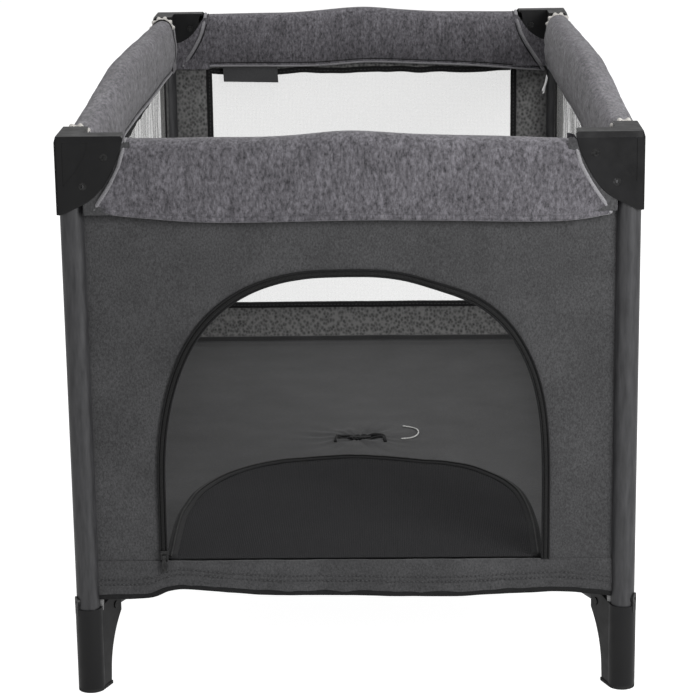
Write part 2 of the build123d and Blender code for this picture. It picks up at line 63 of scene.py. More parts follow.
# ------------------------------------------------------------------ materials
class Mat:
    """Small helper around a node tree: a Principled shader fed by procedural nodes."""

    def __init__(self, name, rough=0.6, spec=0.4):
        self.m = bpy.data.materials.new(name)
        self.m.use_nodes = True
        self.nt = self.m.node_tree
        self.b = self.nt.nodes["Principled BSDF"]
        self.b.inputs["Roughness"].default_value = rough
        self.b.inputs["Specular IOR Level"].default_value = spec
        self.co = self.nt.nodes.new("ShaderNodeTexCoord").outputs["Object"]

    def node(self, kind, **settings):
        n = self.nt.nodes.new(kind)
        for k, v in settings.items():
            if k in n.inputs:
                n.inputs[k].default_value = v
            else:
                setattr(n, k, v)
        return n

    def link(self, a, b):
        self.nt.links.new(a, b)

    def mapped(self, scale, rot=(0, 0, 0)):
        n = self.node("ShaderNodeMapping")
        n.inputs["Scale"].default_value = scale
        n.inputs["Rotation"].default_value = rot
        self.link(self.co, n.inputs["Vector"])
        return n.outputs[0]

    def noise(self, scale, detail=3.0, stretch=(1, 1, 1), rough=0.6):
        n = self.node("ShaderNodeTexNoise", Scale=scale, Detail=detail, Roughness=rough)
        self.link(self.mapped(stretch), n.inputs["Vector"])
        return n.outputs["Fac"]

    def wave(self, scale, direction, stretch=(1, 1, 1), distort=0.0):
        n = self.node("ShaderNodeTexWave", bands_direction=direction, Scale=scale, Distortion=distort)
        n.inputs["Detail"].default_value = 1.0
        self.link(self.mapped(stretch), n.inputs["Vector"])
        return n.outputs["Fac"]

    def voronoi(self, scale, stretch=(1, 1, 1)):
        n = self.node("ShaderNodeTexVoronoi", Scale=scale)
        self.link(self.mapped(stretch), n.inputs["Vector"])
        return n.outputs["Distance"]

    def ramp(self, fac, stops):
        n = self.node("ShaderNodeValToRGB")
        e = n.color_ramp.elements
        while len(e) < len(stops):
            e.new(0.5)
        for el, (p, c) in zip(e, stops):
            el.position = p
            el.color = (c, c, c, 1) if isinstance(c, (int, float)) else (*c, 1)
        self.link(fac, n.inputs["Fac"])
        return n.outputs["Color"]

    def math(self, op, a, b):
        n = self.node("ShaderNodeMath", operation=op)
        for i, v in enumerate((a, b)):
            if isinstance(v, (int, float)):
                n.inputs[i].default_value = v
            else:
                self.link(v, n.inputs[i])
        return n.outputs[0]

    def mix(self, fac, a, b, mode="MIX"):
        n = self.node("ShaderNodeMix", data_type="RGBA", blend_type=mode)
        for sock, v in ((n.inputs["Factor"], fac), (n.inputs["A"], a), (n.inputs["B"], b)):
            if isinstance(v, (int, float)):
                sock.default_value = v
            elif isinstance(v, tuple):
                sock.default_value = (*v, 1)
            else:
                self.link(v, sock)
        return n.outputs["Result"]

    def color(self, out):
        self.link(out, self.b.inputs["Base Color"])
        return self

    def bump(self, height, strength=0.3, distance=0.001):
        n = self.node("ShaderNodeBump", Strength=strength, Distance=distance)
        self.link(height, n.inputs["Height"])
        prev = self.b.inputs["Normal"]
        if prev.links:
            self.link(prev.links[0].from_socket, n.inputs["Normal"])
        self.link(n.outputs[0], prev)
        return self

    def rough(self, out):
        self.link(out, self.b.inputs["Roughness"])
        return self


def woven(name, dark, light, grain=420, streak=(1, 1, 1), sheen=0.15, blotch=0.18, weave=1.0, slub=None):
    """Melange cloth: fibre grain, slow colour drift, and a fine over-under weave."""
    m = Mat(name, rough=0.92, spec=0.15)
    fine = m.noise(grain, 4, streak, 0.75)
    base = m.ramp(fine, [(0.3, dark), (0.72, light)])
    drift = m.ramp(m.noise(14, 3), [(0.3, 1 - blotch), (0.7, 1 + blotch * 0.4)])
    if slub:
        base = m.mix(1.0, base, m.ramp(m.noise(75, 3, slub), [(0.32, 0.80), (0.68, 1.18)]), "MULTIPLY")
    m.color(m.mix(1.0, base, drift, "MULTIPLY"))
    grid = m.math("ADD", m.wave(260, "X"), m.math("ADD", m.wave(260, "Y"), m.wave(260, "Z")))
    m.bump(fine, 0.35, 0.0006).bump(grid, 0.12 * weave, 0.0003)
    m.b.inputs["Sheen Weight"].default_value = sheen
    m.b.inputs["Sheen Roughness"].default_value = 0.5
    return m.m


def plastic(name, col, rough=0.42, grain=900, bump=0.12, spec=0.4):
    m = Mat(name, rough=rough, spec=spec)
    n = m.noise(grain, 2)
    scuff = m.noise(35, 5, (1, 1, 0.3))
    m.color(m.ramp(scuff, [(0.35, tuple(c * 0.85 for c in col)), (0.75, tuple(c * 1.25 for c in col))]))
    m.rough(m.ramp(m.noise(60, 4), [(0.3, rough - 0.07), (0.7, rough + 0.1)]))
    m.bump(n, bump, 0.0002)
    return m.m


HEATHER = woven("heather_cloth", (0.026, 0.025, 0.028), (0.200, 0.192, 0.211), 300, (1, 1, 0.5), 0.15, 0.14, slub=(1.5, 1.5, 0.35))
HEATHER_SIDE = woven("heather_cloth_side", (0.022, 0.021, 0.024), (0.205, 0.197, 0.216), 260, (1, 0.3, 0.6), 0.15, 0.14,
                     slub=(1.5, 0.3, 1.2))
WALL = woven("wall_cloth", (0.032, 0.032, 0.033), (0.092, 0.092, 0.095), 520, (1, 1, 0.7), 0.1, 0.2)
FLOOR = woven("floor_cloth", (0.027, 0.027, 0.028), (0.067, 0.067, 0.068), 620, (1, 1, 1), 0.1, 0.16)
PIPING = woven("piping_cloth", (0.13, 0.128, 0.135), (0.33, 0.325, 0.34), 900, (1, 1, 1), 0.2, 0.1)
BINDING = woven("binding_tape", (0.006, 0.006, 0.006), (0.024, 0.024, 0.025), 900, (1, 1, 1), 0.05, 0.1, 2.0)
WEBBING = woven("grey_webbing", (0.16, 0.16, 0.16), (0.42, 0.42, 0.42), 500, (1, 1, 1), 0.15, 0.1, 2.0)
PALE = woven("pale_lining", (0.30, 0.29, 0.27), (0.62, 0.60, 0.57), 500, (1, 1, 1), 0.2, 0.1)
THREAD = plastic("stitch_thread", (0.05, 0.05, 0.052), 0.7, 2000, 0.05)
PALE_THREAD = plastic("pale_thread", (0.45, 0.45, 0.44), 0.7, 2000, 0.05)
BLACK = plastic("black_moulding", (0.0065, 0.0065, 0.007), 0.36, spec=0.30)
RUBBER = plastic("foot_rubber", (0.012, 0.012, 0.012), 0.75, 500, 0.3)
ZIP = plastic("zip_coil", (0.007, 0.007, 0.007), 0.6, 1500, 0.2)
LABEL = woven("label_satin", (0.03, 0.03, 0.032), (0.07, 0.07, 0.072), 900, (1, 1, 1), 0.3, 0.05)
TAG = woven("tag_white", (0.6, 0.6, 0.6), (0.9, 0.9, 0.9), 900, (1, 1, 1), 0.1, 0.04)


def tube_paint():
    m = Mat("tube_paint", rough=0.38, spec=0.5)
    m.b.inputs["Metallic"].default_value = 0.25
    m.color(m.ramp(m.noise(180, 4, (1, 1, 0.15)), [(0.3, (0.030, 0.030, 0.032)), (0.7, (0.062, 0.062, 0.065))]))
    m.bump(m.noise(1600, 2), 0.15, 0.0001)
    return m.m


def steel():
    m = Mat("screw_steel", rough=0.35, spec=0.5)
    m.b.inputs["Metallic"].default_value = 0.9
    m.color(m.ramp(m.noise(400, 3), [(0.3, (0.02, 0.02, 0.02)), (0.75, (0.07, 0.07, 0.07))]))
    m.bump(m.noise(900, 2), 0.1, 0.0001)
    return m.m


def quilted():
    """Textured inner facing: small raised cells on dark cloth."""
    m = Mat("inner_facing", rough=0.9, spec=0.15)
    cells = m.voronoi(210, (1, 1, 0.8))
    grain = m.noise(260, 4)
    both = m.math("ADD", m.math("MULTIPLY", cells, 0.7), m.math("MULTIPLY", grain, 0.6))
    m.color(m.ramp(both, [(0.28, (0.035, 0.035, 0.035)), (0.85, (0.20, 0.199, 0.197))]))
    m.bump(cells, 0.5, 0.001)
    return m.m


def netting(name, col, cover, axes, pitch=0.0022, line=0.1):
    """See-through net in the plane of two axes: threads on a fine grid, the holes are clear."""
    m = Mat(name, rough=0.8, spec=0.15)
    scale = 2 * math.pi / 20 / pitch
    threads = m.math("MAXIMUM", m.wave(scale, axes[0]), m.wave(scale, axes[1]))
    alpha = m.ramp(threads, [(0.45, max(cover - line, 0.02)), (0.95, min(cover + line, 1))])
    m.link(alpha, m.b.inputs["Alpha"])
    m.color(m.ramp(m.noise(300, 3), [(0.3, tuple(c * 0.9 for c in col)), (0.7, tuple(c * 1.1 for c in col))]))
    return m.m


TUBE, STEEL, FACING = tube_paint(), steel(), quilted()
NET = netting("wall_net", (0.42, 0.42, 0.41), 0.40, ("X", "Z"), line=0.03)
# The side nets are the same light grey netting as the back net; their darker colour is painted shade of the side walls.
SHADED_SIDE_NET = netting("side_net_shaded", (0.25, 0.25, 0.245), 0.22, ("Y", "Z"))
FLAP_NET = netting("flap_net", (0.016, 0.016, 0.017), 0.84, ("X", "Y"))

# ------------------------------------------------------------------ CAD pieces that stay
for node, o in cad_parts.items():
    for key, mat in (
        ("post_tube", TUBE), ("arm_tube", TUBE), ("rail_tube", TUBE), ("corner_bracket", BLACK),
        ("foot_boot", BLACK), ("foot_pad", RUBBER), ("post_fasteners", STEEL), ("hub_body", BLACK),
        ("hub_foot", BLACK), ("hub_pins", STEEL), ("lock_housing", BLACK), ("lock_pins", STEEL),
        ("lock_button", BLACK), ("pull_strap", BINDING), ("zip_slider", STEEL),
    ):
        if node.startswith(key):
            o.data.materials.clear()
            o.data.materials.append(mat)


# ------------------------------------------------------------------ mesh helpers
def make(name, verts, faces, mat, smooth=True, mats=None, face_mats=None):
    me = bpy.data.meshes.new(name)
    me.from_pydata([tuple(v) for v in verts], [], faces)
    for m in mats or [mat]:
        me.materials.append(m)
    me.update()
    me.polygons.foreach_set("use_smooth", [smooth] * len(me.polygons))
    if face_mats:
        me.polygons.foreach_set("material_index", face_mats)
    o = bpy.data.objects.new(name, me)
    bpy.context.scene.collection.objects.link(o)
    return o


def halved(ts):
    """Parameter list with its midpoints added; also for lists of pairs."""
    out = []
    for a, b in zip(ts, ts[1:]):
        out += [a, tuple((p + q) / 2 for p, q in zip(a, b)) if isinstance(a, tuple) else (a + b) / 2]
    return out + [ts[-1]]


def grid(name, us, vs, fn, mat, thick=0.0, offset=0.0, sub=0, back=None, skip=None):
    """Sheet over parameter lists; thick gives it two faces and a rim, back a second material inside."""
    for _ in range(sub):
        us, vs = halved(us), halved(vs)
    verts = [Vector(fn(u, v)) for u in us for v in vs]
    m, n = len(us), len(vs)
    quads = []
    for i in range(m - 1):
        for j in range(n - 1):
            if skip and skip(us[i], us[i + 1], vs[j], vs[j + 1]):
                continue
            quads.append((i * n + j, i * n + j + 1, (i + 1) * n + j + 1, (i + 1) * n + j))
    if not thick:
        return make(name, verts, quads, mat)
    normals = []
    for i in range(m):
        for j in range(n):
            du = verts[min(i + 1, m - 1) * n + j] - verts[max(i - 1, 0) * n + j]
            dv = verts[i * n + min(j + 1, n - 1)] - verts[i * n + max(j - 1, 0)]
            normals.append(dv.cross(du).normalized())
    count = len(verts)
    face = [p + q * thick * (1 + offset) / 2 for p, q in zip(verts, normals)]
    rear = [p - q * thick * (1 - offset) / 2 for p, q in zip(verts, normals)]
    used = {}
    for q in quads:
        for k in range(4):
            e = (q[k], q[(k + 1) % 4])
            used[frozenset(e)] = None if frozenset(e) in used else e
    rim = [e for e in used.values() if e]
    faces = quads + [tuple(count + k for k in reversed(q)) for q in quads] + [(b, a, a + count, b + count) for a, b in rim]
    slots = [0] * len(quads) + [1 if back else 0] * len(quads) + [0] * len(rim)
    o = make(name, face + rear, faces, mat, mats=[mat, back] if back else None, face_mats=slots)
    sharp = {frozenset(e) for e in rim} | {frozenset((e[0] + count, e[1] + count)) for e in rim}
    for e in o.data.edges:
        if frozenset(e.vertices) in sharp:
            e.use_edge_sharp = True
    return o


def frames_along(pts, closed):
    """Tangents and two stable normals along a path."""
    n = len(pts)
    out, ref = [], None
    for i in range(n):
        a = pts[(i - 1) % n] if closed or i else pts[i]
        b = pts[(i + 1) % n] if closed or i < n - 1 else pts[i]
        t = (b - a).normalized()
        if ref is None:
            ref = t.orthogonal().normalized()
        ref = (ref - t * ref.dot(t)).normalized()
        out.append((t, ref, t.cross(ref)))
    return out


def cordlike(name, pts, r, mat, closed=False, sides=8, flat=1.0, up=None):
    """Round (or flattened) tube mesh along a path."""
    pts = [Vector(p) for p in pts]
    fr = frames_along(pts, closed)
    verts, faces = [], []
    for p, (t, a, b) in zip(pts, fr):
        if up is not None:
            b = t.cross(Vector(up)).normalized()
            a = b.cross(t).normalized()
        for k in range(sides):
            ang = 2 * math.pi * k / sides
            verts.append(p + a * math.sin(ang) * r * flat + b * math.cos(ang) * r)
    n = len(pts)
    for i in range(n if closed else n - 1):
        for k in range(sides):
            a0, b0 = i * sides + k, i * sides + (k + 1) % sides
            a1, b1 = ((i + 1) % n) * sides + k, ((i + 1) % n) * sides + (k + 1) % sides
            faces.append((a0, b0, b1, a1))
    if not closed:
        faces += [tuple(reversed(range(sides))), tuple((n - 1) * sides + k for k in range(sides))]
    return make(name, verts, faces, mat)


def tape(name, pts, normals, width, thick, mat, closed=False):
    """Flat binding tape with soft edges: pts on its centre line, normals out of its face."""
    prof = [(-0.5, 0), (-0.47, 0.45), (-0.36, 0.9), (-0.12, 1), (0.12, 1), (0.36, 0.9), (0.47, 0.45), (0.5, 0),
            (0.36, -0.9), (-0.36, -0.9)]
    pts, normals = [Vector(p) for p in pts], [Vector(q).normalized() for q in normals]
    n, k = len(pts), len(prof)
    verts, faces = [], []
    for i in range(n):
        a = pts[(i - 1) % n] if closed or i else pts[i]
        b = pts[(i + 1) % n] if closed or i < n - 1 else pts[i]
        t = (b - a).normalized()
        side = t.cross(normals[i]).normalized()
        for x, z in prof:
            verts.append(pts[i] + side * x * width + normals[i] * z * thick / 2)
    for i in range(n if closed else n - 1):
        for j in range(k):
            faces.append((i * k + j, i * k + (j + 1) % k, ((i + 1) % n) * k + (j + 1) % k, ((i + 1) % n) * k + j))
    if not closed:
        faces += [tuple(reversed(range(k))), tuple((n - 1) * k + j for j in range(k))]
    return make(name, verts, faces, mat)


def stitches(name, pts, mat, r=0.00045, step=0.0042, share=0.62, lift=(0, 0, 0)):
    """A row of short sewn dashes along a path."""
    pts = [Vector(p) + Vector(lift) for p in pts]
    length = [0.0]
    for a, b in zip(pts, pts[1:]):
        length.append(length[-1] + (b - a).length)

    def at(s):
        s = min(max(s, 0), length[-1])
        for i in range(len(pts) - 1):
            if s <= length[i + 1] or i == len(pts) - 2:
                f = (s - length[i]) / max(length[i + 1] - length[i], 1e-9)
                return pts[i].lerp(pts[i + 1], f)

    verts, faces, s = [], [], 0.0
    while s + step * share <= length[-1]:
        a, b = at(s), at(s + step * share)
        t = (b - a).normalized()
        u = t.orthogonal().normalized()
        w = t.cross(u)
        base = len(verts)
        for p in (a, a.lerp(b, 0.5), b):
            rr = r if p == a or p == b else r * 1.5
            verts += [p + u * rr, p + w * rr, p - u * rr, p - w * rr]
        for q in (0, 4):
            for c in range(4):
                faces.append((base + q + c, base + q + (c + 1) % 4, base + q + 4 + (c + 1) % 4, base + q + 4 + c))
        faces += [(base + 3, base + 2, base + 1, base), (base + 8, base + 9, base + 10, base + 11)]
        s += step
    return make(name, verts, faces, mat)


def nz(*p, s=1.0, seed=0.0):
    return noise.noise(Vector(p) * s + Vector((seed, seed * 1.7, seed * 0.3)))


def span(a, b, n):
    return [a + (b - a) * i / n for i in range(n + 1)]


def smooth(x):
    x = min(max(x, 0), 1)
    return x * x * (3 - 2 * x)


def lerp_table(table, x):
    for (a, fa), (b, fb) in zip(table, table[1:]):
        if x <= b:
            return fa + (fb - fa) * min(max((x - a) / (b - a), 0), 1)
    return table[-1][1]


# ------------------------------------------------------------------ padded rail sleeves
# Distance from the outer corner to the sleeve's end, by height below the bracket top.
END = [(0.0, 0.0810), (0.012, 0.0798), (0.036, 0.0728), (0.050, 0.0655), (0.062, 0.0582), (0.081, 0.0450), (0.1, 0.0330)]
# Height of the sleeve's crest and of its hem along the rail, ends to centre to the other end.
CREST = {
    "front": [(-1, 0.6640), (-0.5, 0.6625), (0.0, 0.6628), (0.5, 0.6625), (1, 0.6578)],
    "back": [(-1, 0.6675), (-0.5, 0.6690), (0.0, 0.6710), (0.5, 0.6690), (1, 0.6665)],
    "side": [(-1, 0.6625), (-0.7, 0.6660), (-0.4, 0.6715), (-0.1, 0.6790), (0.25, 0.6760), (0.6, 0.6700), (1, 0.6660)],
}
HEM = {
    "front": [(-1, 0.5840), (-0.78, 0.5770), (-0.5, 0.5715), (0, 0.5725), (0.42, 0.5712), (0.8, 0.5700), (1, 0.5770)],
    "back": [(-1, 0.5850), (-0.6, 0.5850), (-0.25, 0.5840), (0.05, 0.5895), (0.4, 0.5850), (0.7, 0.5800), (1, 0.5730)],
    "side": [(-1, 0.5820), (-0.6, 0.5850), (-0.37, 0.5920), (-0.3, 0.5975), (-0.12, 0.5965), (0.1, 0.5940), (0.34, 0.5900),
             (0.7, 0.5860), (1, 0.5820)],
}
SECTION = [(-0.0132, 0.0), (-0.0143, 0.028), (-0.0132, 0.058), (-0.0152, 0.10), (-0.0178, 0.28), (-0.0186, 0.50), (-0.0178, 0.70), (-0.0160, 0.84),
           (-0.0125, 0.935), (-0.0070, 0.985), (0.0, 1.0), (0.0070, 0.985), (0.0125, 0.935), (0.0160, 0.84),
           (0.0178, 0.70), (0.0186, 0.50), (0.0178, 0.28), (0.0152, 0.10), (0.0132, 0.058), (0.0143, 0.028), (0.0132, 0.0)]
CUFF = 0.058


def catmull(points, n):
    out = []
    p = [points[0]] + list(points) + [points[-1]]
    for i in range(1, len(p) - 2):
        for k in range(n):
            t = k / n
            out.append(tuple(
                0.5 * (2 * b + (c - a) * t + (2 * a - 5 * b + 4 * c - d) * t * t + (3 * b - a - 3 * c + d) * t ** 3)
                for a, b, c, d in zip(p[i - 1], p[i], p[i + 1], p[i + 2])
            ))
    out.append(tuple(points[-1]))
    return out


SECTION_FINE = catmull(SECTION, 3)


def eased(table, x):
    """Smooth curve through a table of (place, height)."""
    line = catmull(table, 8)
    return lerp_table(line, x)


def sleeve_point(s, d_h, half, seed, kind):
    """Point of a rail's sleeve: s along the rail (-1..1), d_h from SECTION, half = outer corner distance."""
    d, h = d_h
    x_rough = s * (half - 0.06)
    hump = {"front": 0.0072, "back": 0.0055, "side": 0.0}[kind]
    top = eased(CREST[kind], s) + hump * math.exp(-((x_rough / 0.064) ** 2))
    bottom = eased(HEM[kind], s) + 0.0010 * nz(x_rough, 0, 0, s=9, seed=seed)
    z = bottom + (top - bottom) * h
    end = half - lerp_table(END, TOP - z)
    x = s * end
    flank = math.sin(math.pi * min(h, 1)) if h < 1 else 0
    puff = 0.0016 * nz(x, d * 3, z * 1.6, s=11, seed=seed) + 0.0007 * nz(x, d, z * 0.5, s=42, seed=seed + 5)
    pull = 0.0022 * smooth((abs(s) - 0.86) / 0.14) * (0.5 + nz(x, d, z, s=60, seed=seed + 9))
    d2 = d * (1 + 0.03 * flank) + math.copysign(1, d or 1) * (puff * (0.3 + flank)) - math.copysign(pull, d or 1)
    if kind == "side" and d < 0:
        d2 -= 0.0040 * (1 - s * s) * min(-d / 0.0186, 1) * smooth(h * 3)
    z += 0.0012 * nz(x, d, 0, s=13, seed=seed + 2) * h
    return x, d2, z


def rail_pieces(name, half, to_world, bodies, seed):
    """Sleeve over one rail, split where the rail folds: bodies are (negative half, lock, positive half)."""
    kind = name if name in CREST else "side"
    cloth = HEATHER_SIDE if kind == "side" else HEATHER
    xc = CUFF / (half - 0.0815)
    spans = {
        "neg": ([-1 + (1 - xc) * (i / 44) ** 0.85 for i in range(45)], bodies[0]),
        "mid": (span(-xc, xc, 10), bodies[1]),
        "pos": (list(reversed([1 - (1 - xc) * (i / 44) ** 0.85 for i in range(45)])), bodies[2]),
    }
    made = []
    for part, (us, body) in spans.items():
        o = grid(f"sleeve_{name}_{part}", us, SECTION_FINE,
                 lambda s, dh: to_world(*sleeve_point(s, dh, half, seed, kind)), cloth, 0.0022, -1.0, 1)
        made.append((o, body, part))
        # Hem tape and piping along the two bottom edges, piping on the slanted ends. Beside each piping a thin black
        # cord is painted seam shadow.
        extra = []
        for side, dh in (("out", SECTION[0]), ("in", SECTION[-1])):
            line = [Vector(to_world(*sleeve_point(s, dh, half, seed, kind))) for s in us]
            extra.append(cordlike(f"hem_{name}_{part}_{side}", line, 0.0018, PIPING))
            d = -0.0136 if side == "out" else 0.0136
            # Painted shadow of the hem seam: a thin black cord just above the piping.
            seam_shadow_line = [Vector(to_world(*sleeve_point(s, (d, 0.058), half, seed, kind))) for s in us]
            extra.append(cordlike(f"hemseam_{name}_{part}_{side}", seam_shadow_line, 0.0007, BINDING, sides=6))
        if part != "mid":
            end_s = us[0] if part == "neg" else us[-1]
            line = [to_world(*sleeve_point(end_s, dh, half, seed, kind)) for dh in SECTION_FINE]
            extra.append(cordlike(f"end_{name}_{part}", line, 0.0027, PIPING))
            # Painted shadow of the end seam: a thin black cord just inside the piping.
            in_s = end_s * (1 - 0.0046 / (half - 0.08))
            seam_shadow_line = [to_world(*sleeve_point(in_s, (dh[0] * 1.015, dh[1]), half, seed, kind)) for dh in SECTION_FINE]
            extra.append(cordlike(f"end_seam_shadow_{name}_{part}", seam_shadow_line, 0.0008, BINDING, sides=6))
        for e in extra:
            made.append((e, body, part))
    for o, body, part in made:
        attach(o, body)
        if part == "mid":
            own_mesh(o)
        else:
            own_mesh(o)
    main = [m[0] for m in made if m[0].name.startswith("sleeve_")]
    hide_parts(f"rail_sleeve_{name}")
    return main


# The section's negative d is the outside of the pen.
rail_pieces("front", OX, lambda x, d, z: (x, -PY + d, z), ("rail_front_left", "lock_front", "rail_front_right"), 1.3)
rail_pieces("back", OX, lambda x, d, z: (x, PY - d, z), ("rail_back_left", "lock_back", "rail_back_right"), 4.1)
rail_pieces("left", OY, lambda x, d, z: (-PX + d, x, z), ("rail_left_front", "lock_left", "rail_left_back"), 7.7)
rail_pieces("right", OY, lambda x, d, z: (PX - d, x, z), ("rail_right_front", "lock_right", "rail_right_back"), 9.2)

# ------------------------------------------------------------------ walls
EDGE_X, EDGE_Y = PX - POST_R - 0.0002, PY - POST_R - 0.0002
WALL_TOP = 0.608           # the cloth runs up inside the rail sleeve
FACE_X, FACE_Y = EDGE_X + 0.003, EDGE_Y + 0.003   # the cloth wraps onto the posts
DOOR_W, SPRING, DOOR_TOP, SILL = 0.220, 0.240, 0.503, 0.161
POWER = 2 / 2.7            # the arch is a superellipse
WALL_T = 0.0014
KEEP_X = 0.253
KEEP_Y = 0.172


def fold_x(o, body="post_front_left"):
    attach(o, body)
    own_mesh(o)


def fold_y(o, body):
    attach(o, body)
    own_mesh(o)


def front_y(x, z):
    """Soft waves of the front wall: flat at the posts, fuller beside the door, pulled near its sill."""
    free = smooth((EDGE_X - abs(x)) / 0.05)
    w = 0.0022 * nz(x * 1.6, z * 0.7, 0, s=9, seed=3) + 0.0008 * nz(x * 3, z, 0, s=22, seed=8)
    w += 0.0016 * nz(x, z * 3.5, 0, s=10, seed=12) * smooth((z - 0.49) / 0.06)
    return -PY - 0.0012 + w * free


ARCHES = {}


def arch(s, grow=0.0):
    """Point on the doorway outline, s 0..1 from its left foot over the top to its right foot."""
    if grow not in ARCHES:
        hw, rise = DOOR_W + grow, DOOR_TOP + grow - SPRING
        pts = [Vector((-hw, z)) for z in span(SILL, SPRING, 12)[:-1]]
        for k in range(481):
            a = math.pi * (1 - k / 480)
            c, h = math.cos(a), max(math.sin(a), 0)
            x = math.copysign(abs(c) ** POWER, c) * hw
            sag = 0.006 * math.exp(-(((x - 0.10) / 0.05) ** 2))
            pts.append(Vector((x + 0.003 * smooth(h * 2), SPRING + rise * h ** POWER - sag * smooth(h * 1.5))))
        pts += [Vector((hw, z)) for z in span(SPRING, SILL, 12)[1:]]
        run = [0.0]
        for p, q in zip(pts, pts[1:]):
            run.append(run[-1] + (q - p).length)
        ARCHES[grow] = (pts, run)
    pts, run = ARCHES[grow]
    d = min(max(s, 0), 1) * run[-1]
    k = min(max(bisect.bisect_right(run, d) - 1, 0), len(pts) - 2)
    p = pts[k].lerp(pts[k + 1], (d - run[k]) / max(run[k + 1] - run[k], 1e-9))
    return p.x, p.y


def outer_for(x, z):
    """Where the ray from the door's centre through an outline point meets the wall's edge."""
    if z <= SPRING:
        return math.copysign(FACE_X, x), z
    dx, dz = x, z - SPRING
    k = min(FACE_X / abs(dx) if abs(dx) > 1e-9 else 1e9, (WALL_TOP - SPRING) / dz if dz > 1e-9 else 1e9)
    return dx * k, SPRING + dz * k


def arch_s_for_corner():
    out = []
    for a, b in ((0.0, 0.5), (0.5, 1.0)):
        found = min((abs(outer_for(*arch(a + (b - a) * i / 4000))[1] - WALL_TOP)
                     + abs(abs(outer_for(*arch(a + (b - a) * i / 4000))[0]) - FACE_X), a + (b - a) * i / 4000)
                    for i in range(4001))
        out.append(found[1])
    return out


c1, c2 = arch_s_for_corner()
arch_us = sorted(set(span(0, c1, 34) + span(c1, c2, 44)[1:] + span(c2, 1, 34)[1:]))


def front_fn(u, v):
    x0, z0 = arch(u)
    x1, z1 = outer_for(x0, z0)
    x, z = x0 + (x1 - x0) * v, z0 + (z1 - z0) * v
    return x, front_y(x, z), z


front = grid("front_wall_cloth", arch_us, span(0, 1, 12), front_fn, WALL, WALL_T, 0, 1)
fold_x(front)
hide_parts("front_panel")


LOW_EDGE = [(-0.305, 0.117), (-0.245, 0.1185), (-0.22, 0.127), (-0.196, 0.129), (-0.15, 0.125), (-0.10, 0.121), (0, 0.120),
            (0.10, 0.118), (0.15, 0.1195), (0.20, 0.1215), (0.235, 0.1234), (0.26, 0.122), (0.305, 0.117)]
LOW_LINE = catmull(LOW_EDGE, 8)


def hem_z(x):
    """Wavy lower edge of the front wall."""
    return lerp_table(LOW_LINE, x) + 0.0006 * nz(x, 0, 0, s=18, seed=2)


def hem_fn(u, v):
    z0, z1 = hem_z(u), SILL + 0.0002
    z = z0 + (z1 - z0) * v
    gather = 0.0014 * nz(u * 2.2, v * 0.6, 0, s=20, seed=6) * (1 - v)
    return u, front_y(u, z) - 0.0010 - gather - 0.0012 * math.sin(v * math.pi), z


hem = grid("front_hem_cloth", span(-FACE_X, FACE_X, 120), span(0, 1, 8), hem_fn, WALL, 0.0022, 0, 1)
fold_x(hem)
line = [(x, front_y(x, hem_z(x)) - 0.0012, hem_z(x)) for x in span(-FACE_X, FACE_X, 160)]
o = tape("front_hem_binding", line, [(0, -1, 0)] * len(line), 0.007, 0.0034, BINDING)
fold_x(o)
for k, dz in enumerate((0.0155, 0.0215)):
    row = [(x, front_y(x, hem_z(x) + dz) - 0.0036, hem_z(x) + dz + 0.0006 * nz(x, 0, 0, s=30)) for x in span(-FACE_X, FACE_X, 160)]
    o = stitches(f"front_hem_stitch_{k}", row, THREAD, 0.0006, 0.005, 0.7)
    fold_x(o)
    o = cordlike(f"front_hem_crease_{k}", [(x, y + 0.0014, z) for x, y, z in row], 0.0010, WALL, sides=6)
    fold_x(o)

# Zip: flat tape round the doorway, a fold of cloth beside it, and the coil.
ZW = 0.0095
zs = span(0, 1, 150)
mid = [arch(s, ZW / 2) for s in zs]
o = tape("zip_tape", [(x, front_y(x, z) - 0.0016, z) for x, z in mid], [(0, -1, 0)] * len(zs), ZW, 0.0016, BINDING)
fold_x(o)
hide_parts("zip_track")
for k, (g, r, mm) in enumerate(((0.0012, 0.0010, BINDING), (0.0048, 0.0012, BINDING), (0.0088, 0.0010, BINDING))):
    pts = [arch(s, g) for s in zs]
    o = cordlike(f"zip_ridge_{k}", [(x, front_y(x, z) - 0.0026, z) for x, z in pts], r, mm, sides=8)
    fold_x(o)
# Coil teeth.
teeth = [arch(s, 0.0048) for s in span(0, 1, 620)]
verts, faces = [], []
for (x, z), (x2, z2) in zip(teeth, teeth[1:]):
    t = Vector((x2 - x, 0, z2 - z)).normalized()
    n = Vector((t.z, 0, -t.x))
    p = Vector((x, front_y(x, z) - 0.0036, z))
    b = len(verts)
    for a in (-1, 1):
        for c in (-1, 1):
            for d in (0, 1):
                verts.append(p + n * a * 0.0017 + t * c * 0.00042 + Vector((0, -0.0005 * d, 0)))
    faces += [(b, b + 2, b + 3, b + 1), (b + 4, b + 5, b + 7, b + 6), (b, b + 1, b + 5, b + 4),
              (b + 2, b + 6, b + 7, b + 3), (b + 1, b + 3, b + 7, b + 5), (b, b + 4, b + 6, b + 2)]
o = make("zip_teeth", verts, faces, ZIP, smooth=False)
fold_x(o)


def ring(name, half, window_half, z0, z1, wz0, wz1, place, mat, back, bow):
    """Cloth surround of a netted wall: a rectangle with a rectangular window."""
    us = sorted(set(span(-half, -window_half, 6) + span(-window_half, window_half, max(24, int(window_half * 90)))
                    + span(window_half, half, 6)))
    vs = sorted(set(span(z0, wz0, 6) + span(wz0, wz1, 22) + span(wz1, z1, 4)))
    inside = lambda a, b, c, d: (a + b) / 2 > -window_half and (a + b) / 2 < window_half and wz0 < (c + d) / 2 < wz1
    return grid(name, us, vs, lambda u, v: place(u, bow(u, v), v), back, 0.0018, 0, 0, mat, inside)


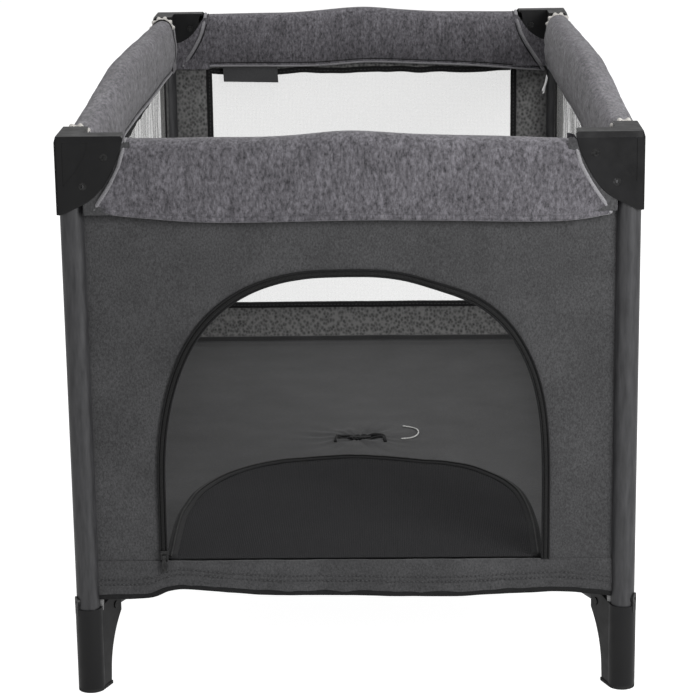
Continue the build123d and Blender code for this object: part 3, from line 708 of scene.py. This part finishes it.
def wall_set(name, half, place, normal, fold, net, node, seed, rib_pitch=0.006, rib_depth=0.0008):
    wh, wz0, wz1 = half - 0.0535, 0.181, 0.5765
    free = lambda u: smooth((half - abs(u)) / 0.06)
    bow = lambda u, v: (0.0022 * nz(u * 1.2, v * 0.8, 0, s=8, seed=seed) + 0.0010 * nz(u * 2.5, v, 0, s=20, seed=seed)) * free(u)
    wavy = lambda u, v: v + (0.0035 * nz(u, 0, 0, s=26, seed=seed) - 0.002) * smooth((v - 0.54) / 0.03)
    cloth = ring(f"{name}_wall_cloth", half + 0.003, wh, WALL_LO - 0.014, WALL_TOP, wz0, wz1, place, FACING, WALL, bow)
    fold(cloth)
    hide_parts(node)
    # The net is knitted with fine upright ribs: from the side of one rib to the other, and back.
    ribs = int(2 * wh / rib_pitch) * 4
    rib = lambda u: rib_depth * math.sin((u + wh) / rib_pitch * 2 * math.pi)
    o = grid(f"{name}_net", span(-wh - 0.003, wh + 0.003, ribs), span(wz0 - 0.003, wz1 + 0.003, 14),
             lambda u, v: place(u, bow(u, v) + rib(u), v), net, 0, 0, 0)
    fold(o)
    # Binding on both faces of the window's edge.
    path = ([(u, wz0) for u in span(-wh, wh, 60)] + [(wh, v) for v in span(wz0, wz1, 20)[1:]]
            + [(u, wavy(u, wz1)) for u in span(wh, -wh, 90)[1:]] + [(-wh, v) for v in span(wz1, wz0, 20)[1:-1]])
    nrm = Vector(normal)
    for k, s in (("in", 1), ("out", -1)):
        pts = [Vector(place(u, bow(u, v), v)) + nrm * s * 0.0017 for u, v in path]
        o = tape(f"{name}_binding_{k}", pts, [nrm * s] * len(pts), 0.0095, 0.0018, BINDING, closed=True)
        fold(o)
        row = [Vector(place(u * 0.999, bow(u, v), v)) + nrm * s * 0.0027 for u, v in path]
        o = stitches(f"{name}_bindstitch_{k}", row, THREAD, 0.0004, 0.006)
        fold(o)
    # Bottom edge binding.
    edge = [(u, WALL_LO - 0.014 + 0.002 * nz(u, 0, 0, s=12, seed=seed)) for u in span(-half, half, 90)]
    pts = [Vector(place(u, bow(u, v), v)) for u, v in edge]
    o = tape(f"{name}_foot_binding", pts, [nrm] * len(pts), 0.008, 0.0036, BINDING)
    fold(o)


wall_set("back", EDGE_X, lambda u, b, v: (u, PY + b, v), (0, -1, 0), lambda o: fold_x(o, "post_back_left"), NET,
         "back_panel", 21)
wall_set("left", EDGE_Y, lambda u, b, v: (-PX - b, u, v), (1, 0, 0), lambda o: fold_y(o, "post_front_left"), SHADED_SIDE_NET,
         "left_panel", 31)
wall_set("right", EDGE_Y, lambda u, b, v: (PX + b, -u, v), (-1, 0, 0), lambda o: fold_y(o, "post_front_right"), SHADED_SIDE_NET,
         "right_panel", 41)


SLIT = Vector((-0.004, 0.026))


def floor_z(x, y):
    """Soft board cloth: nearly flat, puckered round the slit that the strap comes through."""
    dx, dy = x - SLIT.x, y - SLIT.y
    r = math.hypot(dx, dy)
    z = FLOOR_Z + 0.0008 * nz(x, y, 0, s=7, seed=5) + 0.0004 * nz(x, y, 0, s=24, seed=6)
    ang = math.atan2(dy, dx)
    near = math.exp(-((r / 0.085) ** 2))
    z += 0.0042 * near * nz(math.cos(ang) * 2.2, math.sin(ang) * 2.2, r * 9, s=1.6, seed=7)
    z += 0.0026 * math.exp(-((r - 0.036) / 0.016) ** 2) * (0.6 + nz(x, y, 0, s=30, seed=9))
    return z


FX, FY = EDGE_X - 0.004, EDGE_Y - 0.006
for corner, (sx, sy) in CORNERS.items():
    def fn(u, v, sx=sx, sy=sy):
        # The last stretch of each side turns up to the wall's seam.
        x, y = sx * FX * min(u, 1), sy * FY * min(v, 1)
        z = floor_z(x, y)
        rise = max(u - 1, v - 1, 0) / 0.06
        z += 0.008 * rise
        near = max(smooth((u - 0.93) / 0.07), smooth((v - 0.965) / 0.035))
        z += 0.003 * near
        # The slit's mouth sinks to the hub.
        if abs(x) < 0.036:
            z -= 0.007 * math.exp(-(((y - SLIT.y) / 0.005) ** 2)) * (1 - (x / 0.036) ** 2)
        return x, y, z

    us = span(0, 0.16, 16) + span(0.16, 1, 24)[1:] + [1.02, 1.04, 1.06]
    vs = span(0, 0.02, 8) + span(0.02, 0.12, 16)[1:] + span(0.12, 1, 40)[1:] + [1.02, 1.04, 1.06]
    o = grid(f"floor_cloth_{corner}", us, vs, fn, FLOOR, 0.004, 1 if sx * sy > 0 else -1, 1)
    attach(o, f"arm_{corner}")
    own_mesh(o)
    if corner == "front_left":
        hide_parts("floor_panel")

# Sewn loop beside the slit, and the lips of the slit.
loop = [(0.058 + 0.026 * math.cos(a), 0.049 + 0.033 * math.sin(a), 0) for a in span(-1.55, 1.45, 24)]
o = cordlike("floor_loop", [(x, y, floor_z(x, y) + 0.0016) for x, y, z in loop], 0.0011, PALE_THREAD)
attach(o, "hub")
for s in (-1, 1):
    lip = [(x, SLIT.y + s * (0.0065 + 0.0012 * math.sin(x * 200)) * (1 - (x / 0.036) ** 2) ** 0.5 if abs(x) < 0.036 else 0, 0)
           for x in span(-0.036, 0.036, 30)]
    o = cordlike(f"slit_lip_{'a' if s < 0 else 'b'}", [(x, y, floor_z(x, y) + 0.001) for x, y, z in lip], 0.0024, BINDING, flat=0.7)
    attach(o, "hub")

# ------------------------------------------------------------------ door flap, turned in over the floor
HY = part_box("door_flap")[0][1]
FLAP_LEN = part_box("door_flap")[1][1] - HY


def flap_at(u, v):
    """u -1..1 across, v 0..1 from the sill inwards; lies down on the floor away from the sill."""
    d = v * (DOOR_TOP - SILL - 0.003)
    spring = SPRING - SILL
    w = DOOR_W - 0.003
    if d > spring:
        k = (d - spring) / (DOOR_TOP - 0.003 - SPRING)
        w *= max(1 - k ** 2.7, 0) ** (1 / 2.7)
    x = u * w
    y = HY + d
    away = smooth(d / 0.10)
    # The stiff net stands off the floor, dips a little in its middle and lifts along its bound edge.
    z = 0.1615 + 0.004 * away - 0.007 * away * (1 - u * u) * math.sin(math.pi * min(v * 1.1, 1))
    z += (0.0040 * nz(x * 1.4, y * 1.2, 0, s=9, seed=15) + 0.0012 * nz(x, y, 0, s=25, seed=16)) * away
    z += 0.0045 * math.exp(-((x + 0.005) / 0.10) ** 2) * smooth((v - 0.8) / 0.2) + 0.012 * smooth((v - 0.25) / 0.75)
    return x, y, z


vs = [math.sin(t * math.pi / 2) for t in span(0, 1, 46)]
vs[-1] = 0.9999
flap = grid("door_flap_net", span(-1, 1, 56), vs, flap_at, FLAP_NET, 0.0006, 0, 0)
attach(flap, "flap")
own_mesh(flap)
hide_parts("door_flap")
edge = [flap_at(-1, v) for v in vs] + [flap_at(1, v) for v in reversed(vs)]
o = tape("door_flap_binding", edge, [(0, 0, 1)] * len(edge), 0.013, 0.0046, BINDING)
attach(o, "flap")
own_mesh(o)
# Zip tape on the flap's edge.
o = cordlike("door_flap_coil", [(x, y, z + 0.0030) for x, y, z in edge], 0.0014, ZIP, sides=6)
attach(o, "flap")
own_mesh(o)

# ------------------------------------------------------------------ small sewn parts
def tab(name, p, u, v, mat, body, bulge=0.0015, thick=0.0012, squash=None):
    """Small sewn tab: p its corner, u and v its two sides; the far end hangs free."""
    p, u, v = Vector(p), Vector(u), Vector(v)
    n = u.cross(v).normalized()
    o = grid(name, span(0, 1, 10), span(0, 1, 10),
             lambda a, b: p + u * a + v * b + n * bulge * (math.sin(a * 5 + b * 2) * b + b * b), mat, thick, 0, 1)
    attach(o, body)
    if squash:
        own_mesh(o)
    return o


o = tab("size_label", (-0.226, PY - 0.0105, 0.592), (0.089, 0, -0.002), (0.002, -0.004, -0.033), LABEL, "post_back_left",
        squash=dict(joint="fold", axis=(1, 0, 0), anchor=(-EDGE_X, 0, 0), keep=KEEP_X))
o = tab("wash_tag", (PX - 0.022, 0.46, 0.578), (0.001, 0.038, 0), (-0.004, 0.008, -0.026), TAG, "post_front_right",
        squash=dict(joint="fold", axis=(0, 1, 0), anchor=(0, -EDGE_Y, 0), keep=KEEP_Y))
for corner, (sx, sy) in CORNERS.items():
    o = tab(f"tether_{corner}", (sx * (PX - 0.021), sy * (PY + 0.001), 0.138), (sx * 0.010, sy * 0.001, 0.001),
            (sx * 0.004, -sy * 0.003, -0.038), WEBBING, f"post_{corner}", 0.001, 0.0018)

# Cloth that closes each corner between the sleeves' slanted ends and the post, outside and inside. The outer skin's
# dark wall cloth is painted shade of the gap behind the bracket.
GUSSET_TOP = [(0.018, 0.6200), (0.038, 0.6230), (0.050, 0.6290), (0.060, 0.6370), (0.070, 0.6500), (0.078, 0.6630), (0.086, 0.6640)]
for corner, (sx, sy) in CORNERS.items():
    # Outer skin dark as painted shade of the gap; inner skin in the heather cloth.
    for skin, d, mat in (("outer", -0.0150, WALL), ("inner", 0.0150, HEATHER)):
        def round_corner(a, b, sx=sx, sy=sy, d=d):
            # a runs from one rail round the post to the other; the corner itself is rounded.
            reach = 0.086 - (OX - PX)
            near = abs(a) * (reach + (d if d > 0 else 0)) - (d if d > 0 else 0)
            w = near + (OX - PX)
            z = 0.580 + (lerp_table(GUSSET_TOP, max(w, 0.018)) - 0.580) * b
            off = d + 0.0008 * nz(a * 3, b, 0, s=3, seed=sx + 2 * sy + d)
            along = max(near, -off if d < 0 else -off)
            if a < 0:
                return sx * (PX - along), sy * (PY - off), z
            return sx * (PX - off), sy * (PY - along), z

        for k, (a0, a1) in enumerate(((-1, -0.001), (0.001, 1))):
            o = grid(f"gusset_{skin}_{corner}_{k}", span(a0, a1, 20), span(0, 1, 8), round_corner, mat, 0.0010, 0, 0)
            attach(o, f"post_{corner}")

# Gathered pale lining at the side rails' ends, just behind the brackets.
for corner, (sx, sy) in CORNERS.items():
    pts = []

    def puff(a, b, sx=sx, sy=sy):
        y = sy * (OY - 0.0785 - 0.012 * b)
        ang = math.pi * a
        r = 0.0165 + 0.0018 * math.sin(a * 34) * math.sin(b * math.pi) + 0.002 * math.sin(b * math.pi)
        return (sx * PX + r * math.cos(ang), y, TOP - 0.018 + r * math.sin(ang))

    o = grid(f"gather_{corner}", span(0, 1, 70), span(0, 1, 6), puff, PALE, 0.0010, 0, 1)
    side = "left" if sx < 0 else "right"
    end = "front" if sy < 0 else "back"
    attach(o, f"rail_{side}_{end}")

# ------------------------------------------------------------------ studio
world = bpy.data.worlds.new("studio")
bpy.context.scene.world = world
world.use_nodes = True
world.node_tree.nodes["Background"].inputs["Color"].default_value = (1, 1, 1, 1)
tree = world.node_tree
tree.nodes["Background"].inputs["Strength"].default_value = 0.42
# The backdrop itself is bright white, and the light that it gives is softer.
backdrop = tree.nodes.new("ShaderNodeBackground")
backdrop.inputs["Color"].default_value = (1, 1, 1, 1)
backdrop.inputs["Strength"].default_value = 1.05
path, pick = tree.nodes.new("ShaderNodeLightPath"), tree.nodes.new("ShaderNodeMixShader")
tree.links.new(path.outputs["Is Camera Ray"], pick.inputs["Fac"])
tree.links.new(tree.nodes["Background"].outputs[0], pick.inputs[1])
tree.links.new(backdrop.outputs[0], pick.inputs[2])
tree.links.new(pick.outputs[0], tree.nodes["World Output"].inputs["Surface"])

ground = make("studio_floor", [(-6, -6, 0), (6, -6, 0), (6, 6, 0), (-6, 6, 0)], [(0, 1, 2, 3)], None)
gm = Mat("studio_white", rough=0.9, spec=0.1)
gm.b.inputs["Base Color"].default_value = (0.35, 0.35, 0.35, 1)
gm.b.inputs["Emission Color"].default_value = (1, 1, 1, 1)
# The floor shows white, and gives less light back than it shows.
seen = gm.node("ShaderNodeLightPath").outputs["Is Camera Ray"]
gm.link(gm.math("ADD", gm.math("MULTIPLY", seen, 0.62), 0.35), gm.b.inputs["Emission Strength"])
ground.data.materials.clear()
ground.data.materials.append(gm.m)


def area_light(name, at, to, size, power):
    data = bpy.data.lights.new(name, "AREA")
    data.energy, data.size = power, size
    o = bpy.data.objects.new(name, data)
    bpy.context.scene.collection.objects.link(o)
    o.location = at
    o.rotation_euler = (Vector(to) - Vector(at)).to_track_quat("-Z", "Y").to_euler()


area_light("key", (1.15, -1.65, 1.10), (0.1, -0.5, 0.4), 0.7, 24)
area_light("top", (0.2, 0.2, 3.0), (0, 0, 0.3), 2.0, 52)
area_light("fill", (-2.2, -2.4, 1.2), (0, 0, 0.4), 1.6, 7)

scene = bpy.context.scene
scene.view_settings.view_transform = "Standard"
scene.view_settings.look = "None"

cam = bpy.data.cameras.new("camera")
cam.sensor_width = 36
cam.lens = 121.84
cam_o = bpy.data.objects.new("camera", cam)
scene.collection.objects.link(cam_o)
pitch, yaw, roll = math.radians(14.49), math.radians(-1.04), math.radians(-0.76)
fwd = Vector((math.sin(yaw) * math.cos(pitch), math.cos(yaw) * math.cos(pitch), -math.sin(pitch)))
right = Vector((math.cos(yaw), -math.sin(yaw), 0))
up = right.cross(fwd)
r2 = right * math.cos(roll) + up * math.sin(roll)
u2 = up * math.cos(roll) - right * math.sin(roll)
m = Matrix((r2, u2, -fwd)).transposed().to_4x4()
m.translation = Vector((0.046, -3.255, 1.100))
cam_o.matrix_world = m
scene.camera = cam_o
